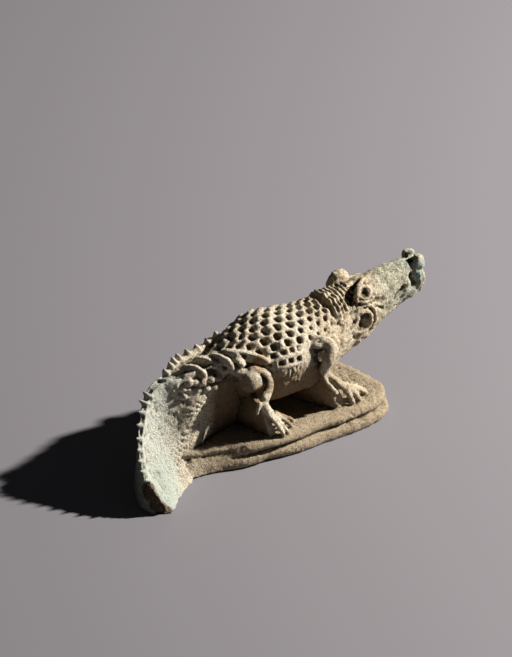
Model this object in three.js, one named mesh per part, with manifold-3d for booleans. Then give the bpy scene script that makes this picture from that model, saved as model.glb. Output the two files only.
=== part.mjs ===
import * as THREE from 'three';
import { mergeVertices } from 'three/addons/utils/BufferGeometryUtils.js';
import Module from 'manifold-3d';

// A crocodile on a thin moulded plinth, pressed and fired in one piece of glazed ceramic.
// Millimetres, +Z up, +X towards the snout, +Y to the animal's left.

// Driving sizes
const figureLength = 100;
const plinthLength = 84;
const plinthHalfWidth = 15.4;
const plinthThickness = 7.2;
const lowerRollHeight = 3.8;
const upperRollInset = 0.7;
const edgeRounding = 1.3;
const bellyGap = 5.3;
const scuteLength = 3.8;
const scuteHeight = 0.65;
const scutePairsAround = 14;
const napeRidgeSpacing = 1.4;
const napeRidgeHeight = 0.3;
const tailToothHeight = 2.6;
const tailToothCount = 9;
const rumpBladeHeight = 3;
const rumpBladeCount = 6;
const jawRingRadius = 2.1;
const jawRingWall = 0.6;
const clayWallThickness = 3;

// The animal's own forms are in hundredths of its length, with heights above the plinth's top.
const hundredth = figureLength / 100;
const plinthFront = 34 * hundredth;

const wasm = await Module();
wasm.setup();

function solid(geometry) {
  const shell = geometry.clone();
  shell.deleteAttribute('normal');
  shell.deleteAttribute('uv');
  const merged = mergeVertices(shell, 1e-5);
  const vertProperties = new Float32Array(merged.attributes.position.array);
  const triVerts = new Uint32Array(merged.index.array);
  return new wasm.Manifold(new wasm.Mesh({ numProp: 3, vertProperties, triVerts }));
}

// A point of the animal: along and across in hundredths, height above the plinth's top
function place(along, across, height) {
  return new THREE.Vector3(
    along * hundredth,
    across * hundredth,
    plinthThickness + height * hundredth,
  );
}

// A smooth curve through rows of numbers, read at any value of the first column
function smoothRows(rows) {
  const width = rows[0].length - 1;
  const curve = new THREE.CubicInterpolant(
    new Float32Array(rows.map((row) => row[0])),
    new Float32Array(rows.flatMap((row) => row.slice(1))),
    width,
    new Float32Array(width),
  );
  return (at) => Array.from(curve.evaluate(at));
}

// A closed tube whose skin is moved: place takes the share along it, the turn around it
// and the share out from its middle line, which is 0 only at the two end points
function movedTube(around, along, position) {
  const geometry = new THREE.CylinderGeometry(1, 1, 1, around, along, false);
  const points = geometry.attributes.position;
  for (let i = 0; i < points.count; i += 1) {
    const x = points.getX(i);
    const z = points.getZ(i);
    const out = Math.hypot(x, z) > 0.5 ? 1 : 0;
    const turn = out ? Math.atan2(x, z) : 0;
    const where = position(points.getY(i) + 0.5, turn, out);
    points.setXYZ(i, where.x, where.y, where.z);
  }
  return solid(geometry);
}

function ellipsoid(centre, radii, around = 12, up = 8) {
  const geometry = new THREE.SphereGeometry(1, around, up);
  geometry.rotateX(Math.PI / 2);
  geometry.scale(radii[0] * hundredth, radii[1] * hundredth, radii[2] * hundredth);
  geometry.translate(centre.x, centre.y, centre.z);
  return solid(geometry);
}

// A limb runs through its joints with a radius at each
function limb(joints, radii, around = 8, along = 8) {
  const path = new THREE.CatmullRomCurve3(joints);
  const frames = path.computeFrenetFrames(along, false);
  const steps = radii.length - 1;
  return movedTube(around, along, (share, turn, out) => {
    const step = Math.round(share * along);
    const at = Math.min(share * steps, steps - 1e-6);
    const low = Math.floor(at);
    const radius = THREE.MathUtils.lerp(radii[low], radii[low + 1], at - low) * hundredth;
    return path
      .getPointAt(step / along)
      .addScaledVector(frames.normals[step], out * radius * Math.cos(turn))
      .addScaledVector(frames.binormals[step], out * radius * Math.sin(turn));
  });
}

function bump(distance, reach) {
  const near = Math.min(Math.abs(distance) / reach, 1);
  return 0.5 + 0.5 * Math.cos(Math.PI * near);
}

// Plinth: two rounded slabs, one on the other, leave the groove round its edge.
// Outline points are the share of its length from the front and of its half width.
const plinthOutline = [
  [0, -0.26], [0.01, -0.56], [0.04, -0.79], [0.084, -0.91], [0.143, -0.97], [0.22, -0.99],
  [0.302, -0.97], [0.387, -0.99], [0.46, -1.02], [0.524, -1], [0.588, -0.92], [0.651, -0.75],
  [0.714, -0.66], [0.77, -0.62], [0.81, -0.46], [0.845, -0.25], [0.86, 0], [0.85, 0.17],
  [0.793, 0.38], [0.714, 0.48], [0.651, 0.62], [0.588, 0.79], [0.524, 0.93], [0.46, 0.96],
  [0.387, 0.93], [0.302, 0.89], [0.207, 0.89], [0.127, 0.88], [0.079, 0.82], [0.048, 0.72],
  [0.029, 0.51], [0.015, 0.2],
];
const outlineSteps = 40;

function slab(bottom, top, inset) {
  const corners = plinthOutline.map(
    ([back, side]) => new THREE.Vector3(plinthFront - back * plinthLength, side * plinthHalfWidth, 0),
  );
  const edge = new THREE.CatmullRomCurve3(corners, true).getSpacedPoints(outlineSteps).slice(0, -1);
  const shape = new THREE.Shape(edge.map((point) => new THREE.Vector2(point.x, point.y)));
  const mostRounding = (top - bottom) * 0.45;
  const rounding = Math.min(edgeRounding, mostRounding);
  const geometry = new THREE.ExtrudeGeometry(shape, {
    depth: top - bottom - 2 * rounding,
    bevelThickness: rounding,
    bevelSize: rounding,
    bevelOffset: -rounding - inset,
    bevelSegments: 2,
    curveSegments: 1,
  });
  geometry.translate(0, 0, bottom + rounding);
  return solid(geometry);
}

function makePlinth() {
  const overlap = edgeRounding * 0.6;
  const lower = slab(0, lowerRollHeight, 0);
  const upper = slab(lowerRollHeight - overlap, plinthThickness, upperRollInset);
  return lower.add(upper);
}

// Trunk, neck and head: along, back, belly above the gap, half width
const trunkRows = [
  [-21, 20.6, 8, 3.6], [-17.8, 22.6, 4.6, 6.4], [-14.4, 24.3, 2.4, 9], [-10.4, 26.4, 1.0, 10.8],
  [-6.4, 27.5, 0.4, 11.6], [-2.5, 28.6, 0.1, 12.1], [1.5, 28.2, 0, 12.1],
  [5.4, 27.6, 0.1, 12.1], [8.6, 27.2, 0.3, 11.9], [12, 27.2, 0.7, 11.4],
  [16, 27.7, 2, 10], [18.6, 28.1, 3.2, 8.7], [21.3, 28.2, 4.2, 7.7],
  [23.9, 28.5, 5.3, 7], [26.6, 29, 5.9, 6.9], [29.7, 29.7, 6.8, 6.1],
  [33.2, 29.8, 8.7, 5.1], [37.1, 30.1, 10.7, 4.5], [41.1, 30.4, 12.4, 4],
  [44.5, 30.6, 13.7, 3.7], [47.2, 30.4, 14.8, 3.8], [49.3, 29.2, 16.3, 3],
  [50, 27.2, 18.7, 1],
];
const trunkAt = smoothRows(trunkRows);
const scuteField = { back: -15.5, front: 13.5, edge: 1.25 };
const napeField = { back: 17.4, front: 26.2, edge: 0.9 };
const napeGroove = { along: 16, reach: 1.6, depth: 0.8, edge: 1.2 };
const bellyFullness = 0.82;

// Height of the carving on the skin: scutes on the back, thin ridges on the nape
function carving(along, turnFromTop) {
  const turn = Math.abs(turnFromTop);
  let height = -napeGroove.depth * bump(along - napeGroove.along, napeGroove.reach)
    * bump(turn, napeGroove.edge);
  if (along > scuteField.back && along < scuteField.front && turn < scuteField.edge) {
    const rows = Math.cos(2 * Math.PI * (along - scuteField.back) * hundredth / scuteLength);
    const columns = Math.cos(scutePairsAround * turnFromTop);
    height -= scuteHeight * rows * columns;
  }
  if (along > napeField.back && along < napeField.front && turn < napeField.edge) {
    const ridge = (along - napeField.back) * hundredth / napeRidgeSpacing;
    height += napeRidgeHeight * Math.cos(2 * Math.PI * ridge);
  }
  return height;
}

function makeTrunk() {
  const stations = [-21, -19, -17.2, -16.2];
  const halfScute = scuteLength / 2 / hundredth;
  for (let at = scuteField.back; at < scuteField.front; at += halfScute) stations.push(at);
  stations.push(14.6, napeGroove.along);
  const halfRidge = napeRidgeSpacing / 2 / hundredth;
  for (let at = napeField.back; at < napeField.front; at += halfRidge) stations.push(at);
  const snoutStep = 2.4;
  for (let at = 27.5; at < 47; at += snoutStep) stations.push(at);
  stations.push(47.8, 49.2, 50);
  const topSteps = Math.round(scutePairsAround * 0.8);
  const sideSteps = 3;
  const around = 2 * (topSteps + sideSteps);
  const topReach = topSteps * Math.PI / 2 / scutePairsAround;
  return movedTube(around, stations.length - 1, (share, turn, out) => {
    const along = stations[Math.round(share * (stations.length - 1))];
    const [back, belly, halfWidth] = trunkAt(along);
    const low = belly + bellyGap / hundredth;
    const middle = (back + low) / 2;
    const step = Math.abs(turn) / Math.PI * (topSteps + sideSteps);
    const upper = step <= topSteps;
    const bend = upper
      ? step / topSteps * topReach
      : topReach + (step - topSteps) / sideSteps * (Math.PI - topReach);
    const side = -Math.sign(turn);
    const lift = out * carving(along, side * bend) / hundredth;
    const fullness = upper ? 1 : bellyFullness;
    const across = Math.sin(bend) ** fullness * (halfWidth + lift);
    const height = Math.cos(bend) * ((back - low) / 2 + lift);
    return place(along, out * side * across, middle + out * height);
  });
}

// Tail: crest middle, half width of its top, then the foot of its hollow right side and of its
// full left side. It curls to the right and thins into the plinth's end.
const ground = -plinthThickness / hundredth;
const tailStations = [
  { crest: [-9, 0, 21.5], top: 5, right: [-9, -1.6, 0], left: [-9, 1.6, 0] },
  { crest: [-15.7, 0, 22.2], top: 5.4, right: [-15.7, -2.6, 0], left: [-15.7, 2.6, 0] },
  { crest: [-21, 0.3, 21.8], top: 4.4, right: [-21.5, -4.6, 0], left: [-21, 4.6, 0] },
  { crest: [-26.2, 0.8, 21.2], top: 3.4, right: [-26.8, -6.6, -0.5], left: [-26.2, 6.6, ground] },
  { crest: [-31.5, 0.8, 20.4], top: 2.2, right: [-31.8, -10.6, ground], left: [-31.5, 6.6, ground] },
  { crest: [-36, 0.5, 19.3], top: 1.3, right: [-35.7, -12.6, ground], left: [-36.8, 5, ground] },
  { crest: [-39.4, -1.1, 16.6], top: 1, right: [-38.1, -14.6, ground], left: [-41.3, 2.1, ground] },
  { crest: [-42.1, -3.2, 13.2], top: 0.9, right: [-40.2, -16.4, ground], left: [-45, -2.6, ground] },
  { crest: [-45, -6.1, 8.2], top: 0.9, right: [-41.8, -18, ground], left: [-47.6, -7.1, ground] },
  { crest: [-46.8, -9.5, 4.2], top: 0.8, right: [-42.9, -18.9, ground], left: [-49.5, -11.1, ground] },
  { crest: [-47.9, -13.5, 0.8], top: 0.7, right: [-43.9, -19.5, ground], left: [-50, -14.5, ground] },
  { crest: [-47.4, -16.9, -1.3], top: 0.5, right: [-44.6, -19.9, ground], left: [-48.9, -17.4, ground] },
  { crest: [-45.9, -19.3, -4.5], top: 0.2, right: [-44.9, -20.2, ground], left: [-46.3, -19.8, ground] },
];
const hollowSide = 1.9;
const fullSide = 1.2;
const crestChannel = 0.25;

function tailCurve(part) {
  return new THREE.CatmullRomCurve3(tailStations.map((row) => place(...row[part])));
}

const tailCrest = tailCurve('crest');
const tailRight = tailCurve('right');
const tailLeft = tailCurve('left');
const tailTop = smoothRows(tailStations.map((row, index) => [index, row.top]));

// A point of a tail curve, never under the ground that the plinth stands on
function onTail(curve, share) {
  const point = curve.getPoint(share);
  point.z = Math.max(point.z, 0);
  return point;
}

function sideways(from, to) {
  return new THREE.Vector3(to.x - from.x, to.y - from.y, 0);
}

function makeTail() {
  const sideSteps = 6;
  const around = 2 * sideSteps + 2;
  const along = 22;
  return movedTube(around, along, (share, turn, out) => {
    const top = onTail(tailCrest, share);
    const foot = onTail(turn > 0 ? tailLeft : tailRight, share);
    const middle = onTail(tailRight, share).lerp(onTail(tailLeft, share), 0.5);
    if (!out) return middle.lerp(top, 0.4);
    const step = Math.round(Math.abs(turn) / Math.PI * (sideSteps + 1));
    if (step > sideSteps) return middle;
    const outward = sideways(top, foot);
    const reach = outward.length();
    outward.divideScalar(reach);
    const [halfTop] = tailTop(share * (tailStations.length - 1));
    const rim = Math.min(halfTop * hundredth, reach * 0.9);
    if (step === 0) return top.setZ(top.z - rim * crestChannel);
    const down = (step - 1) / (sideSteps - 1);
    const width = rim + (reach - rim) * down ** (turn > 0 ? fullSide : hollowSide);
    return new THREE.Vector3(
      top.x + outward.x * width,
      top.y + outward.y * width,
      top.z + (foot.z - top.z) * down,
    );
  });
}

// A flat blade with a pointed top, standing at a place and leaning the way it points
function blade(foot, tip, halfLength, halfThickness, run) {
  const up = new THREE.Vector3().subVectors(tip, foot);
  const height = up.length();
  const geometry = new THREE.ConeGeometry(1, 1, 4, 1);
  geometry.rotateX(Math.PI / 2);
  geometry.translate(0, 0, 0.5);
  geometry.scale(halfLength, halfThickness, height);
  const ahead = run.clone().normalize();
  const across = new THREE.Vector3().crossVectors(up, ahead).normalize();
  ahead.crossVectors(across, up).normalize();
  const turn = new THREE.Matrix4().makeBasis(ahead, across, up.divideScalar(height));
  turn.setPosition(foot);
  geometry.applyMatrix4(turn);
  return solid(geometry);
}

// Teeth stand along the tail's single crest and lean out to its full side
function makeTailTeeth() {
  const firstTooth = 0.42;
  const lastTooth = 0.8;
  const teeth = [];
  for (let k = 0; k < tailToothCount; k += 1) {
    const share = THREE.MathUtils.lerp(firstTooth, lastTooth, k / (tailToothCount - 1));
    const foot = onTail(tailCrest, share);
    const run = tailCrest.getTangent(share);
    const lean = sideways(foot, onTail(tailLeft, share)).normalize();
    const height = tailToothHeight * THREE.MathUtils.lerp(1, 0.65, k / tailToothCount);
    foot.z -= height * 0.5;
    const tip = foot.clone().addScaledVector(lean, height * 0.75);
    tip.z += height * 1.3;
    teeth.push(blade(foot, tip, height * 0.45, height * 0.4, run));
  }
  return teeth;
}

// Two rows of leaf-shaped blades run from the haunches back to where the crests meet
function makeRumpBlades(side) {
  const row = new THREE.CatmullRomCurve3([
    place(-10.4, side * 6.6, 22.6), place(-15.7, side * 5.6, 21.9), place(-21, side * 4.4, 21),
    place(-26.2, side * 3.1, 20.3), place(-31.5, side * 1.4, 19.6),
  ]);
  const blades = [];
  for (let k = 0; k < rumpBladeCount; k += 1) {
    const foot = row.getPoint(k / (rumpBladeCount - 1));
    const lean = new THREE.Vector3(-0.5, side * 0.25, 1);
    const tip = foot.clone().addScaledVector(lean, rumpBladeHeight);
    const run = row.getTangent(k / rumpBladeCount);
    blades.push(blade(foot, tip, rumpBladeHeight, rumpBladeHeight * 0.3, run));
  }
  return blades;
}

// A foothold: along in hundredths, across as a share of the plinth's half width
function foothold(along, share, height) {
  const point = place(along, 0, height);
  point.y = share * plinthHalfWidth;
  return point;
}

// A wall of clay left under a limb, from just past the middle line out to the limb
function clayWall(side, inner, outer) {
  const geometry = new THREE.BoxGeometry(1, 1, 1);
  const points = geometry.attributes.position;
  for (let i = 0; i < points.count; i += 1) {
    const from = points.getZ(i) > 0 ? inner.high : inner.low;
    const to = points.getZ(i) > 0 ? outer.high : outer.low;
    const where = from.clone().lerp(to, 0.5 + side * points.getY(i));
    points.setXYZ(i, where.x + points.getX(i) * clayWallThickness, where.y, where.z);
  }
  return solid(geometry);
}

const footSink = -0.4;
const pastMiddle = -0.5;

// Toes fan from a foot's end, each bending down over its knuckle to its tip
function toes(foot, tips, radii) {
  return tips.map((tip) => {
    const knuckle = foot.clone().lerp(tip, 0.6);
    knuckle.z += 0.8 * hundredth;
    return limb([foot, knuckle, tip], radii, 5, 2);
  });
}

function makeHindLeg(side) {
  const ankle = foothold(-10.2, side * 0.85, 11);
  const instep = foothold(-7, side * 0.88, 6.2);
  const haunchRim = [
    place(-18.3, side * 8, 18.6), place(-14.8, side * 9, 21.2), place(-11, side * 9.7, 20.6),
    place(-8.3, side * 10.8, 18.4), place(-7.3, side * 11.6, 15.8), place(-8.2, side * 12.3, 13.2),
    ankle,
  ];
  const heel = foothold(-13.6, side * 0.88, 8.6);
  const inner = {
    low: place(-9, side * pastMiddle, footSink),
    high: place(-9, side * pastMiddle, 12),
  };
  const outer = {
    low: foothold(-5.6, side * 0.86, footSink),
    high: foothold(-9.6, side * 0.86, 10),
  };
  return [
    ellipsoid(place(-12.6, side * 7.6, 15.8), [5.2, 4.2, 5.8], 9, 6),
    ellipsoid(place(-13.4, side * 10, 17.8), [3.2, 2.2, 3.2], 8, 5),
    limb(haunchRim, [1.1, 1.2, 1.4, 1.4, 1.4], 5, 8),
    limb([ankle, instep], [1.5, 1.5], 7, 1),
    limb([ankle, heel], [1.2, 0.3], 5, 1),
    clayWall(side, inner, outer),
    ...toes(instep, [
      foothold(1.4, side * 0.62, footSink), foothold(-1.6, side * 0.8, footSink),
      foothold(-3.4, side * 0.89, footSink), foothold(-5.4, side * 0.9, footSink),
    ], [1.3, 1, 0.7]),
  ];
}

function makeForeleg(side) {
  const shoulder = place(14, side * 9.4, 18.4);
  const elbow = foothold(9.6, side * 0.78, 12.8);
  const wrist = foothold(15, side * 0.8, 6.6);
  const paw = foothold(17.6, side * 0.77, 3);
  const spur = foothold(14, side * 0.86, 5);
  const inner = {
    low: place(11, side * pastMiddle, footSink),
    high: place(11, side * pastMiddle, 10),
  };
  const outer = {
    low: foothold(17, side * 0.74, footSink),
    high: foothold(11.6, side * 0.74, 12),
  };
  return [
    ellipsoid(place(12.4, side * 8.4, 18), [3.4, 3, 4.6], 9, 6),
    limb([shoulder, elbow, wrist, paw], [2.1, 1.7, 1.4, 1.3], 7, 9),
    limb([elbow, spur], [1, 0.4], 5, 1),
    clayWall(side, inner, outer),
    ...toes(paw, [
      foothold(24, side * 0.62, footSink), foothold(22, side * 0.72, footSink),
      foothold(19.6, side * 0.78, footSink),
    ], [1.2, 1, 0.7]),
  ];
}

// Brow, eye, the ring at the jaw's corner and nostril of one side
function makeFace(side) {
  const ring = new THREE.TorusGeometry(jawRingRadius, jawRingWall, 4, 10);
  ring.rotateX(Math.PI / 2);
  const ringPlace = place(26.3, side * 6.9, 20.7);
  ring.translate(ringPlace.x, ringPlace.y, ringPlace.z);
  return [
    ellipsoid(place(25.4, side * 4.1, 27.6), [4.4, 1.9, 3.1], 10, 6),
    ellipsoid(place(27, side * 5.6, 27.6), [1.6, 0.8, 1.2], 8, 4),
    solid(ring),
    ellipsoid(place(47.2, side * 1.7, 30.2), [1.5, 1.2, 1.2], 7, 5),
  ];
}

// Hollows of one side: the notch behind the snout's tip and the wavy line of the mouth
function makeMouthCuts(side) {
  const mouth = [
    place(46, side * 4, 25.4), place(40.6, side * 4.3, 24.6), place(37.7, side * 4.7, 23.6),
    place(35.4, side * 5.1, 22.2), place(30.1, side * 6.3, 22.2),
  ];
  return [
    ellipsoid(place(45, side * 4.8, 25), [1.4, 1.9, 3.4], 8, 6),
    limb(mouth, [0.5, 0.45, 0.45, 0.5], 4, 6),
  ];
}

const sides = [-1, 1];
const forms = [
  makePlinth(), makeTrunk(), makeTail(), ...makeTailTeeth(),
  ...sides.flatMap(makeRumpBlades), ...sides.flatMap(makeHindLeg),
  ...sides.flatMap(makeForeleg), ...sides.flatMap(makeFace),
];
const joined = forms.reduce((whole, form) => whole.add(form));
const carved = sides.flatMap(makeMouthCuts).reduce((whole, cut) => whole.subtract(cut), joined);

const mesh = carved.getMesh();
const geometry = new THREE.BufferGeometry();
geometry.setAttribute('position', new THREE.BufferAttribute(new Float32Array(mesh.vertProperties), 3));
geometry.setIndex(new THREE.BufferAttribute(new Uint32Array(mesh.triVerts), 1));
geometry.computeBoundingBox();
const box = geometry.boundingBox;
geometry.translate(-(box.min.x + box.max.x) / 2, -(box.min.y + box.max.y) / 2, -box.min.z);
geometry.computeVertexNormals();

const ceramic = new THREE.MeshStandardMaterial({ color: 0xd8ccae, roughness: 0.85, metalness: 0 });
const crocodile = new THREE.Mesh(geometry, ceramic);
crocodile.name = 'crocodile_on_plinth';

const figure = new THREE.Group();
figure.add(crocodile);

export default figure;
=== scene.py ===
import math

import bmesh
import bpy
import numpy as np
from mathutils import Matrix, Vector


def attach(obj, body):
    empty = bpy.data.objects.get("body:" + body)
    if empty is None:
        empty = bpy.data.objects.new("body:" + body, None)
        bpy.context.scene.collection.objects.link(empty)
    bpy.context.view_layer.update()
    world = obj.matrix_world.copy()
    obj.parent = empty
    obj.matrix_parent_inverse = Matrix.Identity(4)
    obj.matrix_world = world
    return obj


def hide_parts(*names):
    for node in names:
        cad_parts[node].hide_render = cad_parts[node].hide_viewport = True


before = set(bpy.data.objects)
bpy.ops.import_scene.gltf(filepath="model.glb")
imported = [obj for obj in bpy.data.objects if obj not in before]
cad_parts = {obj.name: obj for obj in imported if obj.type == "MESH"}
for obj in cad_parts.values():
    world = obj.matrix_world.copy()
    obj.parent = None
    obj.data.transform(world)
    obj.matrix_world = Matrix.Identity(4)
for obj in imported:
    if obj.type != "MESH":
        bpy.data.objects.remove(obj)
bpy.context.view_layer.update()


# View
# The figure is seen from behind its right side and well above, through a long lens.
metres_per_row = 0.000264
picture_rows = 657
aim = Vector((-0.0040, 0.00265, 0.0326))
view_distance = 1.2
view_turn = math.radians(-35)
view_rise = math.radians(30)
towards_view = Vector((
    math.sin(view_turn) * math.cos(view_rise),
    -math.cos(view_turn) * math.cos(view_rise),
    math.sin(view_rise),
))
view = bpy.data.objects.new("view", bpy.data.cameras.new("view"))
bpy.context.scene.collection.objects.link(view)
bpy.context.scene.camera = view
view.location = aim + towards_view * view_distance
view.rotation_mode = "QUATERNION"
view.rotation_quaternion = (-towards_view).to_track_quat("-Z", "Y")
view.data.sensor_width = 36
view.data.lens = view.data.sensor_width * view_distance / (metres_per_row * picture_rows)
view.data.clip_start = 0.05
view.data.clip_end = 20


# Plinth
# The animal stands on a thin base of the same clay, pressed in the same mould. Two soft rolls
# with a groove between them run round its edge. Sizes are in millimetres, with x along the
# animal, y to its left from its middle line, and z up.
plinth_thickness = 7.2
plinth_front = 34
plinth_length = 84
plinth_half_width = 15.4
plinth_middle = np.array([-2.0, 0.0])
# Share of the length behind the front, and share of the half width to the left
plinth_outline = [
    (0, -0.26), (0.01, -0.56), (0.04, -0.79), (0.084, -0.91), (0.143, -0.97), (0.22, -0.99),
    (0.302, -0.97), (0.387, -0.99), (0.46, -1.02), (0.524, -1), (0.588, -0.92), (0.651, -0.75),
    (0.714, -0.66), (0.77, -0.62), (0.81, -0.46), (0.845, -0.25), (0.86, 0), (0.85, 0.17),
    (0.793, 0.38), (0.714, 0.48), (0.651, 0.62), (0.588, 0.79), (0.524, 0.93), (0.46, 0.96),
    (0.387, 0.93), (0.302, 0.89), (0.207, 0.89), (0.127, 0.88), (0.079, 0.82), (0.048, 0.72),
    (0.029, 0.51), (0.015, 0.2),
]
# Height of the edge's profile and how far it lies inside the outline
edge_profile = [
    (0, 1.3), (0.2, 0.7), (0.6, 0.25), (1.2, 0), (1.9, 0), (2.6, 0.2), (3.05, 0.7), (3.4, 1.5),
    (3.7, 1.8), (4.0, 1.35), (4.6, 0.75), (5.4, 0.55), (6.1, 0.8), (6.7, 1.4), (7.05, 2.2),
    (7.2, 3.2),
]
# Under the tail the edge has no groove and slopes in towards its top
groove_end = -24
groove_start = -12
top_inset = 2.6
# The right side is drawn in low down at the waist
waist_along = -9
waist_reach = 12
waist_depth = 2.2
edge_sway = 0.25


def smooth_rows(rows, at):
    """The columns after the first, read smoothly where the first has the values at."""
    rows = np.array(rows, dtype=float)
    x, y = rows[:, 0], rows[:, 1:]
    slope = np.gradient(y, x, axis=0)
    at = np.clip(at, x[0], x[-1])
    low = np.clip(np.searchsorted(x, at, side="right") - 1, 0, len(x) - 2)
    step = (x[low + 1] - x[low])[:, None]
    s = (at - x[low])[:, None] / step
    return (
        y[low] * (1 + 2 * s) * (1 - s) ** 2 + slope[low] * step * s * (1 - s) ** 2
        + y[low + 1] * s * s * (3 - 2 * s) + slope[low + 1] * step * s * s * (s - 1)
    )


def lumps(spots, size, seed):
    """A smooth random height from -1 to 1 that changes over size."""
    scatter = (127.1, 311.7, 74.7)
    stretch = 43758.5453
    cell = spots / size + seed * 17.37
    low = np.floor(cell)
    part = cell - low
    part = part * part * (3 - 2 * part)
    total = np.zeros(len(spots))
    for corner in np.ndindex(2, 2, 2):
        key = np.sin((low + corner) @ scatter) * stretch
        weight = np.prod(np.where(corner, part, 1 - part), axis=1)
        total += weight * (key - np.floor(key))
    return 2 * total - 1


def fade(value, start, end):
    """0 before start and 1 after end, smooth between them."""
    s = np.clip((value - start) / (end - start), 0, 1)
    return s * s * (3 - 2 * s)


def bump(distance):
    """A round hump: 1 at distance 0, and 0 from 1 outwards."""
    return 0.5 + 0.5 * np.cos(np.pi * np.clip(np.abs(distance), 0, 1))


clay = bmesh.new()


def press(around, along, shape):
    """Adds a closed skin to the clay. shape gives places from arrays of turn and share."""
    skin = bmesh.new()
    bmesh.ops.create_grid(skin, x_segments=around, y_segments=along, size=0.5)
    mesh = bpy.data.meshes.new("skin")
    skin.to_mesh(mesh)
    spots = np.empty(len(mesh.vertices) * 3)
    mesh.vertices.foreach_get("co", spots)
    spots = spots.reshape(-1, 3) + 0.5
    turn = np.where(spots[:, 0] > 1 - 1e-4, 0, spots[:, 0]) * 2 * np.pi
    places = shape(turn, np.clip(spots[:, 1], 0, 1))
    mesh.vertices.foreach_set("co", places.ravel())
    skin.clear()
    skin.from_mesh(mesh)
    bmesh.ops.remove_doubles(skin, verts=skin.verts, dist=1e-4)
    bmesh.ops.recalc_face_normals(skin, faces=skin.faces)
    skin.to_mesh(mesh)
    clay.from_mesh(mesh)
    skin.free()
    bpy.data.meshes.remove(mesh)


plinth_corners = np.array([
    (plinth_front - back * plinth_length, side * plinth_half_width)
    for back, side in plinth_outline
])
wrapped = np.concatenate([plinth_corners[-3:], plinth_corners, plinth_corners[:4]])
wrapped_steps = np.arange(-3, len(plinth_corners) + 4)[:, None]
plinth_rows = np.hstack([wrapped_steps, wrapped])


def plinth_shape(turn, share):
    """From the middle of the underside out, up over the edge, and in to the top's middle."""
    at = turn / (2 * np.pi) * len(plinth_corners)
    edge = smooth_rows(plinth_rows, at)
    ahead = smooth_rows(plinth_rows, at + 0.05) - edge
    ahead /= np.linalg.norm(ahead, axis=1)[:, None]
    inward = np.stack([ahead[:, 1], -ahead[:, 0]], 1)
    inward *= np.sign(np.sum(inward * (plinth_middle - edge), axis=1))[:, None]

    # The first and the last quarter are the underside and the top
    flat_share = 0.25
    rim = np.clip((share - flat_share) / (1 - 2 * flat_share), 0, 1)
    step = rim * (len(edge_profile) - 1)
    height, inset = smooth_rows([(k, *row) for k, row in enumerate(edge_profile)], step).T
    rise = height / plinth_thickness
    slope = 0.1 + top_inset * rise ** 2
    ungrooved = 1 - fade(edge[:, 0], groove_end, groove_start)
    inset = inset + (slope - inset) * ungrooved * (height > 0.3)
    waist = bump((edge[:, 0] - waist_along) / waist_reach) * (edge[:, 1] < 0)
    inset += waist_depth * waist * (1 - rise)

    place = edge + inward * inset[:, None]
    inner = np.clip((1 - share) / flat_share, 0, 1)
    disc = np.where(share < flat_share, share / flat_share, inner)
    place = plinth_middle + (place - plinth_middle) * disc[:, None]
    spots = np.hstack([place, height[:, None]])
    sway = lumps(spots, 7, 3) * edge_sway * (height > 0.5)
    spots[:, :2] += inward * (sway * (disc > 0.9))[:, None]
    return spots


press(520, 240, plinth_shape)


def limb(joints, radii, around=28, along=70, flatten=1.0):
    """A round limb through its joints, with a radius at each of its even steps."""
    joints = np.array(joints, dtype=float)
    rows = np.hstack([np.arange(len(joints))[:, None], joints])
    steps = np.linspace(0, len(joints) - 1, along + 1)
    path = smooth_rows(rows, steps)
    run = np.gradient(path, axis=0)
    run /= np.linalg.norm(run, axis=1)[:, None]
    length = np.concatenate([[0], np.cumsum(np.linalg.norm(np.diff(path, axis=0), axis=1))])
    radius = np.interp(steps / steps[-1], np.linspace(0, 1, len(radii)), radii)
    left = np.minimum(length, length[-1] - length)
    radius = radius * np.sqrt(np.clip(1 - (1 - np.clip(left / radius, 0, 1)) ** 2, 0, 1))
    level = np.cross(run, (0, 0, 1))
    level /= np.linalg.norm(level, axis=1)[:, None]
    upright = np.cross(level, run)

    def shape(turn, share):
        k = np.round(share * along).astype(int)
        return (
            path[k] + level[k] * (radius[k] * np.cos(turn))[:, None]
            + upright[k] * (radius[k] * flatten * np.sin(turn))[:, None]
        )

    press(around, along, shape)


# The upper roll stands above the floor between the tail and the hind foot
limb([
    (-33.5, -5.6, 6), (-30, -6.9, 6.2), (-26, -7.8, 6.3), (-20, -9.3, 6.3), (-14, -11.6, 6.3),
    (-8, -13.2, 6.2),
], [1, 1.2, 1.3, 1.3, 1.2, 1])


# Trunk, neck and head
# The body is one thick roll of clay, modelled by hand before the mould was taken. Rows of
# pits cut in it leave the knobs of the back, and thin ridges cross the nape.
trunk_back = -21
trunk_front = 50
belly_gap = 5.3
trunk_rows = [
    # along, back, belly above the gap, half width
    (trunk_back, 20.6, 8, 3.2), (-17.8, 22.6, 5.4, 4.2), (-14.4, 24.3, 3, 5.4),
    (-10.4, 26.4, 0.2, 8.2), (-6.4, 27.5, -0.7, 10.6), (-2.5, 28.6, -1, 12.1),
    (1.5, 28.2, -1, 12.1), (5.4, 27.6, -0.8, 12), (8.6, 27.2, -0.4, 11.6),
    (12, 27.2, 0.4, 10.5), (16, 27.7, 2, 9.3), (18.6, 28.1, 3.2, 8.7), (21.3, 28.2, 4.2, 7.7),
    (23.9, 28.5, 5.3, 7), (26.6, 29, 5.9, 6.9), (29.7, 29.7, 6.8, 6.1), (33.2, 30.2, 8.7, 5.1),
    (37.1, 30.8, 10.7, 4.5), (41.1, 31.1, 12.4, 4), (44.5, 31.2, 13.7, 3.8),
    (47.2, 30.9, 14.8, 3.9), (49.3, 29.2, 16.3, 3), (trunk_front, 27.2, 18.7, 1),
]
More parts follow.
